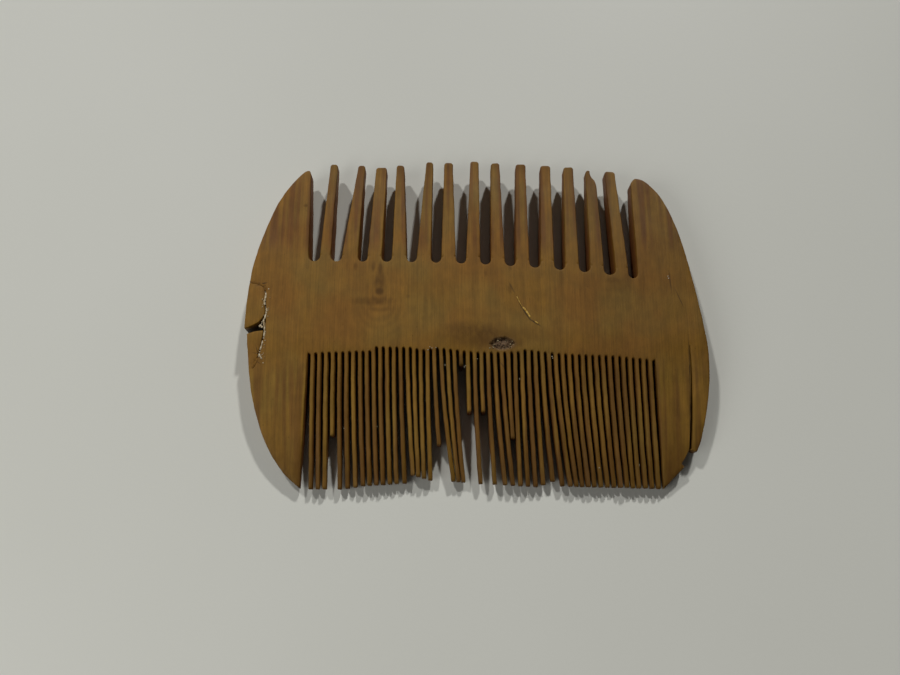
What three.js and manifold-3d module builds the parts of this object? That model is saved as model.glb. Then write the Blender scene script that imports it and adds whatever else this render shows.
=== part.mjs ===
// An old double-sided comb, sawn from one flat board of fine-grained wood.
// A solid centre bar and two curved end guards frame a row of coarse teeth on
// one long side (+Y) and a row of fine teeth on the other (-Y). The board is
// thickest along the bar and thins towards both rows of tips. It has bowed a
// little with age, so that the fine tips are lower than the coarse ones.
// Units are millimetres, +Z is up, X runs along the bar.

import * as THREE from 'three';
import { mergeVertices } from 'three/addons/utils/BufferGeometryUtils.js';
import Module from 'manifold-3d';

const wasm = await Module();
wasm.setup();

// ---- the board's section, seen along X ----
const BOARD_THICKNESS = 5.6;
const COARSE_TIP_THICKNESS = 2.2;
const FINE_TIP_THICKNESS = 1.1;
const FLAT_FROM_Y = -4;
const FLAT_TO_Y = 8;
const BOARD_END_Y = 30.5;
const TAPER_STEPS = 5;
const COARSE_TAPER_POWER = 1.5;
const FINE_TAPER_POWER = 1.15;
const FINE_DROP = 1.7;
const COARSE_RISE = 0.5;
const BOW_POWER = 1.6;
const BLANK_HALF_WIDTH = 42;

// ---- centre bar, between the two guards ----
const BAR_FINE_EDGE_Y = -5.1;
const BAR_LEFT = { coarseX: -30.0, fineX: -29.4 };
const BAR_RIGHT = { coarseX: 28.6, fineX: 30.8 };

// ---- coarse teeth, numbered from the left ----
const COARSE_PITCH = 4.4;
const COARSE_FIRST_X = -27;
const COARSE_ROOT_ABOVE_GAP = 0.3;
const COARSE_TEETH = [
  { root: 1.9, tip: 1.4, lean: 0.8, end: 29.6 },
  { root: 2.8, tip: 1.3, lean: 1.5, end: 29.3 },
  { root: 2.5, tip: 2.0, lean: 0.8, end: 28.9 },
  { root: 2.6, tip: 1.4, lean: -0.1, end: 29.3 },
  { root: 2.5, tip: 1.3, lean: 0.9, end: 30.0 },
  { root: 2.6, tip: 1.6, lean: 0.0, end: 29.8 },
  { root: 2.5, tip: 1.5, lean: 0.4, end: 30.2 },
  { root: 2.4, tip: 1.6, lean: -0.2, end: 29.8 },
  { root: 2.4, tip: 1.8, lean: 0.1, end: 29.5 },
  { root: 2.4, tip: 1.8, lean: 0.3, end: 29.3 },
  { root: 2.4, tip: 1.8, lean: 0.1, end: 28.9 },
  { root: 2.4, tip: 1.8, lean: -0.2, end: 28.3 },
  { root: 2.2, tip: 1.9, lean: -1.1, end: 28.0 },
];
const TIP_CORNER = 0.3;
// What is broken from the tip of tooth 12, which leaves a spike on its left.
const CHIPPED_TOOTH = 12;
const TIP_CHIP = [[21.1, 30], [21.1, 27.6], [21.3, 27], [21.9, 26.2], [22.2, 25.1], [23, 25.1], [23, 30]];

// ---- fine teeth, numbered from the left; lists run by tooth number ----
const FINE_COUNT = 51;
const FINE_PITCH = 1.17;
const FINE_FIRST_GAP_X = -29.15;
const FINE_GAP = 0.5;
const FINE_TIP_WIDTH = 0.75;
const FINE_SIDE_STEPS = 4;
const FINE_LEAN_POWER = 1.5;
const TEETH_PER_SECTION = 2;
const FINE_LEAN = [
  [1, 0.05], [3, 0.1], [5, 0.35], [8, 0.8], [13, 0.65], [15, 1.1], [17, 0.65], [18, 0.6],
  [20, 2.2], [22, 1.55], [24, 0.9], [27, 1.05], [28, 1.65], [29, 1.8], [31, 0.75], [34, 1.15],
  [36, 2.1], [37, 2.25], [41, 1.7], [44, 1.55], [46, 1.4], [48, 1.1], [51, 0.9],
];
const FINE_END = [
  [1, -29.7], [5, -29.7], [8, -29.2], [14, -28.7], [15, -27.4], [18, -28.2], [25, -28.8],
  [33, -29.3], [34, -29.0], [35, -28.4], [36, -29.2], [51, -29.6],
];
const FINE_GAP_END = [
  [0, -6.6], [9, -6.2], [10, -5.5], [15, -5.6], [17, -6.0], [19, -5.7], [25, -6.5],
  [31, -6.4], [32, -6.0], [37, -6.7], [46, -7.2], [51, -7.8],
];
const BROKEN_FINE = { 4: -20.8, 19: -22.4, 23: -8.8, 24: -16.8, 26: -16.8, 30: -21.3 };

// ---- guards: the outer edge from the coarse tip to the fine tip ----
const LEFT_EDGE = [
  [-30.3, 27.4], [-30.8, 28.3], [-32.4, 27.3], [-35.7, 22.5], [-38.2, 15.7], [-39.9, 8.9],
  [-40.4, 1.5], [-39.9, -6.1], [-39.0, -13.6], [-36.8, -21.1], [-33.5, -26.7], [-30.3, -29.6],
];
const RIGHT_EDGE = [
  [28.4, 25.5], [28.9, 26.3], [29.6, 26.6], [31.4, 25.8], [34.2, 22.2], [36.6, 15.2],
  [38.5, 5.6], [39.8, -3.0], [40.2, -8.0], [39.7, -14.9], [37.9, -22.7], [35.5, -25.8], [31.6, -29.7],
];
const EDGE_STEPS = 28;

// ---- the broken edges; every crack line runs from the fine side up ----
const PAST_EDGE = 42;
const LEFT_LOWER_CRACK = [[-38.9, -9.2], [-38.0, -7.6], [-37.4, -5.2], [-37.0, -3.2], [-37.0, -2.6]];
const LEFT_UPPER_CRACK = [[-36.9, 0.4], [-36.9, 0.8], [-37.1, 2.6], [-37.2, 4.0], [-37.3, 5.4]];
const LEFT_LOWER_END = [[-PAST_EDGE, -3.5], [-PAST_EDGE, -10.6]];
const LEFT_LOWER_TOP = [[-38.8, -2.8], [-40.0, -3.2]];
const LEFT_UPPER_TOP = [[-38.6, 6.0], [-PAST_EDGE, 6.5]];
const LEFT_UPPER_FOOT = [
  [-PAST_EDGE, -2.3], [-39.9, -2.3], [-39.2, -2.0], [-38.4, -1.5], [-37.7, -1.1], [-37.3, -0.4],
];
const LEFT_LOWER_OPEN = [[-9.2, 0], [-7.6, 0.12], [-5.2, 0.2], [-2.6, 0.34]];
const LEFT_UPPER_SWING = { x: -40.1, y: 6.2, angle: THREE.MathUtils.degToRad(-2.8) };
const FILL_WIDTH = [[-7.6, 0.06], [-5.2, 0.12], [-1.2, 0.26], [2.6, 0.12], [4.0, 0.07]];
const FILL_CLEARANCE = 0.02;
const FILL_BOTTOM = 0.2;
const FILL_DEPTH = 5.2;
const RIGHT_CRACK = [[36.2, -23.0], [36.6, -17.0], [36.8, -12.0], [36.9, -5.2]];
const RIGHT_SLIVER_TOP = [[38.4, -3.6], [PAST_EDGE, -2.6]];
const RIGHT_SLIVER_FOOT = [[PAST_EDGE, -23.2], [37.0, -23.5]];
const RIGHT_OPEN = [[-23.0, 0.4], [-17.0, 0.3], [-12.0, 0.2], [-5.2, 0]];
const CRACK_CUT_BACK = 1;
const RIGHT_NOTCH_END = [[35.5, -24.4], [34.8, -25.5], [37.0, -27.0], [PAST_EDGE, -24.0]];

const WOOD = 0x73552d;
const FINE_WOOD = 0x69552d;
const FILL = 0xc9bfa5;

// Reads a [position, value] list at any position, with straight lines between.
function readList(list, at) {
  const last = list.length - 1;
  if (at <= list[0][0]) return list[0][1];
  if (at >= list[last][0]) return list[last][1];
  const i = list.findIndex(([position]) => position > at) - 1;
  const [[p0, v0], [p1, v1]] = [list[i], list[i + 1]];
  return v0 + ((v1 - v0) * (at - p0)) / (p1 - p0);
}

function toSolid(geometry) {
  geometry.deleteAttribute('normal');
  geometry.deleteAttribute('uv');
  const merged = mergeVertices(geometry, 1e-5);
  const vertProperties = new Float32Array(merged.attributes.position.array);
  const triVerts = new Uint32Array(merged.index.array);
  return new wasm.Manifold(new wasm.Mesh({ numProp: 3, vertProperties, triVerts }));
}

function toGeometry(solid) {
  const mesh = solid.getMesh();
  const geometry = new THREE.BufferGeometry();
  geometry.setAttribute('position', new THREE.BufferAttribute(mesh.vertProperties, 3));
  geometry.setIndex(new THREE.BufferAttribute(mesh.triVerts, 1));
  geometry.computeVertexNormals();
  return geometry;
}

function prism(points, height) {
  const shape = new THREE.Shape(points.map(([x, y]) => new THREE.Vector2(x, y)));
  return toSolid(new THREE.ExtrudeGeometry(shape, { depth: height, bevelEnabled: false }));
}

// How far y is along the taper that it is in: 0 along the bar, 1 at the board's end.
function taperReach(y) {
  const flatEnd = y > FLAT_TO_Y ? FLAT_TO_Y : FLAT_FROM_Y;
  const boardEnd = y > FLAT_TO_Y ? BOARD_END_Y : -BOARD_END_Y;
  return Math.max(0, (y - flatEnd) / (boardEnd - flatEnd));
}

// Half the board's thickness at a distance y from the middle of the comb.
function halfThickness(y) {
  const coarse = y > FLAT_TO_Y;
  const tip = coarse ? COARSE_TIP_THICKNESS : FINE_TIP_THICKNESS;
  const power = coarse ? COARSE_TAPER_POWER : FINE_TAPER_POWER;
  return (BOARD_THICKNESS - (BOARD_THICKNESS - tip) * taperReach(y) ** power) / 2;
}

// The height of the middle of the board's thickness, which follows its bow.
function middleHeight(y) {
  const lift = y > FLAT_TO_Y ? COARSE_RISE : -FINE_DROP;
  return BOARD_THICKNESS / 2 + lift * taperReach(y) ** BOW_POWER;
}

// The board before sawing: a flat lens in section, extruded along X.
function boardBlank() {
  const stations = [];
  for (let i = 0; i <= TAPER_STEPS; i += 1) {
    stations.push(-BOARD_END_Y + ((FLAT_FROM_Y + BOARD_END_Y) * i) / TAPER_STEPS);
  }
  for (let i = 0; i <= TAPER_STEPS; i += 1) {
    stations.push(FLAT_TO_Y + ((BOARD_END_Y - FLAT_TO_Y) * i) / TAPER_STEPS);
  }
  const lower = stations.map((y) => [y, middleHeight(y) - halfThickness(y)]);
  const upper = stations.map((y) => [y, middleHeight(y) + halfThickness(y)]).reverse();
  const shape = new THREE.Shape([...lower, ...upper].map(([y, z]) => new THREE.Vector2(y, z)));
  const depth = 2 * BLANK_HALF_WIDTH;
  const geometry = new THREE.ExtrudeGeometry(shape, { depth, bevelEnabled: false });
  const turn = new THREE.Matrix4().makeBasis(
    new THREE.Vector3(0, 1, 0), new THREE.Vector3(0, 0, 1), new THREE.Vector3(1, 0, 0));
  geometry.applyMatrix4(turn);
  geometry.translate(-BLANK_HALF_WIDTH, 0, 0);
  return toSolid(geometry);
}

const BLANK = boardBlank();

// A piece of the board with the given outline in plan.
function sawn(points) {
  return prism(points, BOARD_THICKNESS).intersect(BLANK);
}

// ---- coarse side ----
function coarseGapEnd(x) {
  return 10.1 - 3.2 * ((x - BAR_LEFT.coarseX) / 58) ** 2.7;
}

function coarseRoot(i) {
  const x = COARSE_FIRST_X + COARSE_PITCH * i;
  const half = COARSE_TEETH[i].root / 2;
  return { left: x - half, right: x + half, x };
}

// The gaps between guard and tooth or tooth and tooth, as left and right walls.
function coarseGaps() {
  const gaps = [];
  for (let i = 0; i <= COARSE_TEETH.length; i += 1) {
    const left = i === 0 ? BAR_LEFT.coarseX : coarseRoot(i - 1).right;
    const right = i === COARSE_TEETH.length ? BAR_RIGHT.coarseX : coarseRoot(i).left;
    gaps.push({ left, right, end: coarseGapEnd((left + right) / 2), radius: (right - left) / 2 });
  }
  return gaps;
}

const COARSE_GAPS = coarseGaps();

function coarseRootY(i) {
  const sides = [COARSE_GAPS[i], COARSE_GAPS[i + 1]];
  return Math.max(...sides.map((gap) => gap.end + gap.radius)) + COARSE_ROOT_ABOVE_GAP;
}

// The rounded end that the saw leaves, from the left wall to the right wall.
function coarseGapArc(gap) {
  const middle = (gap.left + gap.right) / 2;
  const points = [];
  for (let step = 0; step <= 6; step += 1) {
    const angle = Math.PI + (Math.PI * step) / 6;
    points.push([
      middle + gap.radius * Math.cos(angle),
      gap.end + gap.radius * (1 + Math.sin(angle)),
    ]);
  }
  return points;
}

function centreBar() {
  const points = [[BAR_RIGHT.fineX, BAR_FINE_EDGE_Y]];
  for (let i = COARSE_GAPS.length - 1; i >= 0; i -= 1) {
    points.push(...coarseGapArc(COARSE_GAPS[i]).reverse());
    if (i > 0) {
      const { left, right } = coarseRoot(i - 1);
      points.push([right, coarseRootY(i - 1)], [left, coarseRootY(i - 1)]);
    }
  }
  points.push([BAR_LEFT.fineX, BAR_FINE_EDGE_Y]);
  return sawn(points);
}

function coarseTooth(i) {
  const { root, tip, lean, end } = COARSE_TEETH[i];
  const { x } = coarseRoot(i);
  const base = coarseRootY(i);
  const tipX = x + lean;
  return sawn([
    [x - root / 2, base],
    [x + root / 2, base],
    [tipX + tip / 2, end - TIP_CORNER],
    [tipX + tip / 2 - TIP_CORNER, end],
    [tipX - tip / 2 + TIP_CORNER, end],
    [tipX - tip / 2, end - TIP_CORNER],
  ]);
}

// ---- fine side ----
function fineGapX(gap) {
  return FINE_FIRST_GAP_X + FINE_PITCH * gap;
}

// One side of a fine tooth from root to tip; side is -1 for left, 1 for right.
function fineToothSide(tooth, side) {
  const rootX = (fineGapX(tooth - 1) + fineGapX(tooth)) / 2;
  const rootWidth = FINE_PITCH - FINE_GAP;
  const from = readList(FINE_GAP_END, side < 0 ? tooth - 1 : tooth) - FINE_GAP / 2;
  const fullEnd = readList(FINE_END, tooth);
  const end = BROKEN_FINE[tooth] ?? fullEnd;
  const lean = readList(FINE_LEAN, tooth);
  const points = [];
  for (let step = 0; step <= FINE_SIDE_STEPS; step += 1) {
    const y = from + ((end - from) * step) / FINE_SIDE_STEPS;
    const reach = (from - y) / (from - fullEnd);
    const width = rootWidth + (FINE_TIP_WIDTH - rootWidth) * reach;
    points.push([rootX + lean * reach ** FINE_LEAN_POWER + (side * width) / 2, y]);
  }
  return points;
}

// A section of the fine side: a strip of the board's edge with its teeth.
function fineSection(first, last) {
  const leftX = first === 1 ? BAR_LEFT.fineX : fineGapX(first - 1);
  const rightX = last === FINE_COUNT ? BAR_RIGHT.fineX : fineGapX(last);
  const points = [[rightX, BAR_FINE_EDGE_Y], [leftX, BAR_FINE_EDGE_Y]];
  points.push([leftX, readList(FINE_GAP_END, first - 1)]);
  for (let tooth = first; tooth <= last; tooth += 1) {
    points.push(...fineToothSide(tooth, -1), ...fineToothSide(tooth, 1).reverse());
    const gapX = tooth === last ? rightX : fineGapX(tooth);
    points.push([gapX, readList(FINE_GAP_END, tooth)]);
  }
  return sawn(points);
}

// ---- guards ----
function edgeCurve(list) {
  const curve = new THREE.SplineCurve(list.map(([x, y]) => new THREE.Vector2(x, y)));
  return curve.getPoints(EDGE_STEPS).map((point) => [point.x, point.y]);
}

function guard(edge, bar, coarseGap, fineGap) {
  return sawn([
    ...edgeCurve(edge),
    [bar.fineX, readList(FINE_GAP_END, fineGap)],
    [bar.fineX, BAR_FINE_EDGE_Y],
    [bar.coarseX, coarseGap.end + coarseGap.radius],
  ]);
}

function movedAlongX(line, distance) {
  return line.map(([x, y]) => [x + distance, y]);
}

// The line moved along X at each point by the width that the list gives there.
function openedAlongX(line, widths, side) {
  return line.map(([x, y]) => [x + side * readList(widths, y), y]);
}

// What a crack takes from the piece on one side of it. The cut starts on the
// crack's other side, where there is no material, so that it leaves no film.
function crackCut(line, widths, side) {
  const behind = movedAlongX(line, -side * CRACK_CUT_BACK);
  return prism([...behind, ...openedAlongX(line, widths, side).reverse()], BOARD_THICKNESS);
}

function cutAway(solid, ...outlines) {
  return outlines.reduce((rest, outline) => rest.subtract(prism(outline, BOARD_THICKNESS)), solid);
}

function keepInside(solid, outline) {
  return solid.intersect(prism(outline, BOARD_THICKNESS));
}

// ---- assembly ----
const comb = new THREE.Group();

function addPiece(name, solid, color, roughness) {
  const material = new THREE.MeshStandardMaterial({ color, roughness, metalness: 0 });
  const mesh = new THREE.Mesh(toGeometry(solid), material);
  mesh.name = name;
  comb.add(mesh);
  return mesh;
}

const twoDigits = (number) => String(number).padStart(2, '0');

addPiece('centre_bar', centreBar(), WOOD, 0.6);

for (let i = 0; i < COARSE_TEETH.length; i += 1) {
  const chips = i + 1 === CHIPPED_TOOTH ? [TIP_CHIP] : [];
  addPiece(`coarse_tooth_${twoDigits(i + 1)}`, cutAway(coarseTooth(i), ...chips), WOOD, 0.6);
}

for (let first = 1; first <= FINE_COUNT; first += TEETH_PER_SECTION) {
  const last = Math.min(first + TEETH_PER_SECTION - 1, FINE_COUNT);
  const numbers = first === last ? twoDigits(first) : `${twoDigits(first)}_${twoDigits(last)}`;
  addPiece(`fine_teeth_${numbers}`, fineSection(first, last), FINE_WOOD, 0.7);
}

// The left guard's edge is in two broken pieces, with an open wedge between them.
const leftWhole = guard(LEFT_EDGE, BAR_LEFT, COARSE_GAPS[0], 0);
const lowerRegion = [...LEFT_LOWER_CRACK, ...LEFT_LOWER_TOP, ...LEFT_LOWER_END];
const upperRegion = [...LEFT_UPPER_CRACK, ...LEFT_UPPER_TOP, ...LEFT_UPPER_FOOT];
const wedge = [
  LEFT_LOWER_CRACK.at(-1), LEFT_UPPER_CRACK[0], ...[...LEFT_UPPER_FOOT].reverse(),
  LEFT_LOWER_END[0], ...[...LEFT_LOWER_TOP].reverse(),
];
addPiece('left_end_guard', cutAway(leftWhole, lowerRegion, upperRegion, wedge), WOOD, 0.6);

const leftLower = keepInside(leftWhole, lowerRegion)
  .subtract(crackCut(LEFT_LOWER_CRACK, LEFT_LOWER_OPEN, -1));
addPiece('left_lower_edge_fragment', leftLower, WOOD, 0.6);

// The upper fragment has swung out a little about its top outer corner.
const { x: swingX, y: swingY, angle: swing } = LEFT_UPPER_SWING;
const leftUpper = keepInside(leftWhole, upperRegion).translate(-swingX, -swingY, 0);
const upperMesh = addPiece('left_upper_edge_fragment', leftUpper, WOOD, 0.6);
upperMesh.position.set(swingX, swingY, 0);
upperMesh.rotation.z = swing;

const leftCrack = [...LEFT_LOWER_CRACK.slice(1), ...LEFT_UPPER_CRACK.slice(0, -1)];
const fillInner = movedAlongX(leftCrack, -FILL_CLEARANCE);
const fillOuter = openedAlongX(fillInner, FILL_WIDTH, -1);
const fillStrip = prism([...fillInner, ...fillOuter.reverse()], FILL_DEPTH);
addPiece('crack_fill', fillStrip.translate(0, 0, FILL_BOTTOM), FILL, 0.9);

// The right guard's edge is split along the grain, and its lower end is lost.
const rightWhole = guard(RIGHT_EDGE, BAR_RIGHT, COARSE_GAPS[COARSE_TEETH.length], FINE_COUNT);
const sliverRegion = [...RIGHT_CRACK, ...RIGHT_SLIVER_TOP, ...RIGHT_SLIVER_FOOT];
const notch = [RIGHT_CRACK[0], ...RIGHT_NOTCH_END, ...RIGHT_SLIVER_FOOT];
addPiece('right_end_guard', cutAway(rightWhole, sliverRegion, notch), WOOD, 0.6);

const sliver = keepInside(rightWhole, sliverRegion)
  .subtract(crackCut(RIGHT_CRACK, RIGHT_OPEN, 1));
addPiece('right_edge_sliver', sliver, WOOD, 0.6);

// The origin is under the middle of the comb, on the surface that it lies on.
const box = new THREE.Box3().setFromObject(comb, true);
const middle = box.getCenter(new THREE.Vector3());
comb.position.set(-middle.x, -middle.y, -box.min.z);

export default comb;
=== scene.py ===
import math
import random

import bpy
import numpy as np
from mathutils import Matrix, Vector, noise
from mathutils.geometry import delaunay_2d_cdt
from mathutils.kdtree import KDTree


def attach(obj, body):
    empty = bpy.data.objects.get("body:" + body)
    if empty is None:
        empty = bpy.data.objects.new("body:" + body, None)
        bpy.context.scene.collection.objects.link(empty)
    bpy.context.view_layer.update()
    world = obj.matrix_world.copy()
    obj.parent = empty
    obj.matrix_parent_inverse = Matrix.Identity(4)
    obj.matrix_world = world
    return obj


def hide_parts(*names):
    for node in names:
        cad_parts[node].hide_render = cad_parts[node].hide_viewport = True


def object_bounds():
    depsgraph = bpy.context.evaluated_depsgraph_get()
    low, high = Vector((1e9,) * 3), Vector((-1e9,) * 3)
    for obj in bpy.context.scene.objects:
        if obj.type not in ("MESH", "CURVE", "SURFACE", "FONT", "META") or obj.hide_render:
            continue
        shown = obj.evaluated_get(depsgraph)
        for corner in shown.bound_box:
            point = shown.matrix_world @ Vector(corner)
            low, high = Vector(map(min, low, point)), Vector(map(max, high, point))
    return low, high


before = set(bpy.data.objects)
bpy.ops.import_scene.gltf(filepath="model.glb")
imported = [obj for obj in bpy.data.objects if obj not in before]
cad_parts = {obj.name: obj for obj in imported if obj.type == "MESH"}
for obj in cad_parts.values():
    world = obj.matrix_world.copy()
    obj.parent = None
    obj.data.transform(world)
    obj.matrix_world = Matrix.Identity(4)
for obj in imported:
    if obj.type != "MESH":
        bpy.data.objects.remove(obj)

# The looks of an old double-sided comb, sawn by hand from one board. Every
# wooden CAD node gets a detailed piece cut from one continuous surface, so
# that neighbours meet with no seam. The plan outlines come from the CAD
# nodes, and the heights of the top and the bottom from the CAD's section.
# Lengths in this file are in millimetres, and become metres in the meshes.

CAD_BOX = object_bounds()
MM = 0.001
LOW = np.array(CAD_BOX[0]) / MM
HIGH = np.array(CAD_BOX[1]) / MM
MIDDLE_Z = (LOW[2] + HIGH[2]) / 2

FILL_NODE = "crack_fill"
WOOD_NODES = sorted(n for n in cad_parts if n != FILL_NODE)

# ---- how finely the surface is made ----
SIDE_STEP = 0.45
SHORTEST_STEP = 0.09
TURN_STEP = math.radians(14)
EDGE_LEVELS = (0.025, 0.08, 0.16)
GRID_STEP = 0.6
GRID_MARGIN = 0.2
WALL_ROWS = 4
ARC_STEPS = 7
SMOOTH_TURN = math.radians(35)
CORNER_CUT = 0.16
EDGE_RADIUS = 0.22
OUTER_RADIUS = 0.45
FINE_RADIUS = 0.32
STRAIGHT_SINE = 0.002

# ---- where the teeth begin and end ----
COARSE_ROOT_Y = 10.2
COARSE_TIP_Y = 29.0
FINE_ROOT_Y = -6.5
FINE_TIP_Y = -29.7
FINE_ROW_END_X = 31

# How far single teeth have warped up or down at their tips.
COARSE_BEND = 0.35
FINE_BEND = 0.5
BEND_POWER = 1.6

# The rotten knot at the bar's fine edge: middle, half sizes and depth of its hollow.
OPEN_KNOT = (4.6, -5.3)
KNOT_SIZE = (2.1, 1.15)
KNOT_DEPTH = 0.55
KNOT_STEP = 0.2


# ---- plan outlines, read from the CAD nodes ----
def top_face_edges(mesh):
    """Directed edges of the faces that look up, as pairs of rounded plan points."""
    edges = set()
    for face in mesh.polygons:
        if face.normal.z > 0.5:
            corners = [mesh.vertices[i].co for i in face.vertices]
            points = [(round(c.x / MM, 3), round(c.y / MM, 3)) for c in corners]
            edges.update(zip(points, points[1:] + points[:1]))
    return edges


def chain(edges):
    """Joins directed edges into closed loops of points."""
    following = {}
    for a, b in sorted(edges):
        following.setdefault(a, []).append(b)
    loops = []
    while following:
        start = min(following)
        loop, point = [], start
        while point in following:
            loop.append(point)
            ends = following[point]
            after = ends.pop()
            if not ends:
                del following[point]
            point = after
        loops.append(loop)
    return sorted(loops, key=len, reverse=True)


def plan_outline(node):
    edges = top_face_edges(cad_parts[node].data)
    open_edges = {(a, b) for a, b in edges if (b, a) not in edges and a != b}
    return np.array(chain(open_edges)[0])


OUTLINES = {node: plan_outline(node) for node in WOOD_NODES}


# ---- the rim of all the wood together ----
def triangulate(points, edges, loops):
    """Triangles inside the loops: all points, their corners, the loops that each triangle
    lies in, and the given points that each point stands for."""
    made = delaunay_2d_cdt([Vector(p) for p in points], edges, loops, 1, 1e-5)
    return np.array([tuple(p) for p in made[0]]), np.array(made[2]), made[5], made[3]


def union_of_outlines():
    """The rim of all the wood as closed lines, and the lines where nodes meet."""
    points, loops = [], []
    for outline in OUTLINES.values():
        loops.append(list(range(len(points), len(points) + len(outline))))
        points.extend(outline)
    places, triangles, sources, _ = triangulate(points, [], loops)
    owner = {}
    for triangle, source in zip(triangles, sources):
        if source:
            for a, b in zip(triangle, np.roll(triangle, -1)):
                owner[(int(a), int(b))] = source[0]
    open_edges = {edge for edge in owner if edge[::-1] not in owner}
    seams = [e for e in owner if e[0] < e[1] and owner.get(e[::-1], owner[e]) != owner[e]]
    return [places[loop] for loop in chain(open_edges)], [places[list(e)] for e in seams]


def without_straight_points(line):
    before, after = line - np.roll(line, 1, axis=0), np.roll(line, -1, axis=0) - line
    cross = before[:, 0] * after[:, 1] - before[:, 1] * after[:, 0]
    size = np.linalg.norm(before, axis=1) * np.linalg.norm(after, axis=1)
    return line[np.abs(cross) > STRAIGHT_SINE * size]


def rounded(line):
    """The closed line with each corner replaced by a short curve."""
    made = []
    for i, corner in enumerate(line):
        before, after = line[i - 1] - corner, line[(i + 1) % len(line)] - corner
        lengths = np.linalg.norm(before), np.linalg.norm(after)
        cosine = before @ after / (lengths[0] * lengths[1])
        turn = math.pi - math.acos(np.clip(cosine, -1, 1))
        cut = 0.45 * min(lengths)
        if turn > SMOOTH_TURN:
            cut = min(cut, CORNER_CUT)
        start = corner + before / lengths[0] * cut
        end = corner + after / lengths[1] * cut
        for t in np.linspace(0, 1, ARC_STEPS):
            made.append((1 - t) ** 2 * start + 2 * t * (1 - t) * corner + t * t * end)
    return np.array(made)


def divided(a, b, step):
    count = max(1, math.ceil(np.linalg.norm(b - a) / step))
    return [a + (b - a) * t for t in np.arange(count) / count]


def resampled(line):
    """Points along the closed line, closer together where it turns."""
    dense = []
    for a, b in zip(line, np.roll(line, -1, axis=0)):
        dense.extend(divided(a, b, SIDE_STEP))
    kept, run, turned, heading = [dense[0]], 0.0, 0.0, None
    for a, b in zip(dense, dense[1:]):
        step = b - a
        run += np.linalg.norm(step)
        direction = math.atan2(step[1], step[0])
        if heading is not None:
            turned += abs((direction - heading + math.pi) % (2 * math.pi) - math.pi)
        heading = direction
        if run > 0.8 * SIDE_STEP or (turned > TURN_STEP and run > SHORTEST_STEP):
            kept.append(b)
            run = turned = 0.0
    return np.array(kept)


def inward(line):
    along = np.roll(line, -1, axis=0) - np.roll(line, 1, axis=0)
    along /= np.linalg.norm(along, axis=1)[:, None]
    return np.stack([-along[:, 1], along[:, 0]], axis=1)


LOOPS, SEAMS = union_of_outlines()
RIM_LINES = [resampled(rounded(without_straight_points(loop))) for loop in LOOPS]
RIM = np.concatenate(RIM_LINES)
RIM_INWARD = np.concatenate([inward(line) for line in RIM_LINES])
RIM_TREE = KDTree(len(RIM))
for index, (x, y) in enumerate(RIM):
    RIM_TREE.insert((x, y, 0), index)
RIM_TREE.balance()
STARTS = np.cumsum([0] + [len(line) for line in RIM_LINES])
RIM_RINGS = [list(range(a, b)) for a, b in zip(STARTS, STARTS[1:])]
RIM_NEXT = np.concatenate([np.roll(ring, -1) for ring in RIM_RINGS])
RIM_BEFORE = np.concatenate([np.roll(ring, 1) for ring in RIM_RINGS])


def nearest_rim(point):
    return RIM_TREE.find((point[0], point[1], 0))[1]


def from_segment(point, a, b):
    along = b - a
    share = np.clip((point - a) @ along / (along @ along), 0, 1)
    return np.linalg.norm(point - a - share * along)


def rim_distance(point):
    i = nearest_rim(point)
    sides = RIM[RIM_BEFORE[i]], RIM[RIM_NEXT[i]]
    return min(from_segment(point, RIM[i], side) for side in sides)


# ---- how round the rim is: sharp in the gaps and cracks, worn along the outside ----
def smooth_step(x, start, end):
    """0 at start and 1 at end, smooth in between; end may be below start."""
    t = np.clip((x - start) / (end - start), 0, 1)
    return t * t * (3 - 2 * t)


def open_outside(i):
    """Whether nothing faces the rim at this point within 3 mm."""
    reaches = (1.2, 3.0)
    return all(rim_distance(RIM[i] - RIM_INWARD[i] * reach) > 0.8 * reach for reach in reaches)


def rim_radii():
    """How far the edge is rounded over at each point of the rim."""
    outer = np.array([float(open_outside(i)) for i in range(len(RIM))])
    outer *= smooth_step(np.abs(RIM[:, 0]), 29.6, 32.5)
    for ring in RIM_RINGS:
        line = outer[ring]
        outer[ring] = sum(np.roll(line, shift) for shift in range(-4, 5)) / 9
    radii = EDGE_RADIUS + (OUTER_RADIUS - EDGE_RADIUS) * outer
    fine = (RIM[:, 1] < FINE_ROOT_Y) & (np.abs(RIM[:, 0]) < FINE_ROW_END_X)
    return np.where(fine, np.maximum(radii, FINE_RADIUS), radii)


# ---- one plan of points and triangles for the whole board ----
def covered_by_wood(points):
    """Which of the points lie inside the outline of some piece of wood."""
    covered = np.zeros(len(points), bool)
    for outline in OUTLINES.values():
        near = np.all((points >= outline.min(0)) & (points <= outline.max(0)), axis=1)
        covered[near] |= inside(points[near], outline)
    return covered


def inside(points, outline):
    """Which of the points lie inside one outline, by counting the sides to their right."""
    x, y = points[:, :1], points[:, 1:]
    a, b = outline, np.roll(outline, -1, axis=0)
    spans = (a[:, 1] > y) != (b[:, 1] > y)
    rise = np.where(b[:, 1] == a[:, 1], 1, b[:, 1] - a[:, 1])
    crossing = a[:, 0] + (y - a[:, 1]) / rise * (b[:, 0] - a[:, 0])
    return (spans & (x < crossing)).sum(axis=1) % 2 == 1


def inset_points():
    """Lines of points just inside the rim, where the edge is rounded over."""
    made = []
    for place, normal in zip(RIM, RIM_INWARD):
        for level in EDGE_LEVELS:
            point = place + normal * level
            if rim_distance(point) > 0.93 * level:
                made.append((point, level))
    return made


def knot_reach(x, y):
    """0 in the middle of the open knot and 1 at its edge."""
    return np.hypot((x - OPEN_KNOT[0]) / KNOT_SIZE[0], (y - OPEN_KNOT[1]) / KNOT_SIZE[1])


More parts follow.
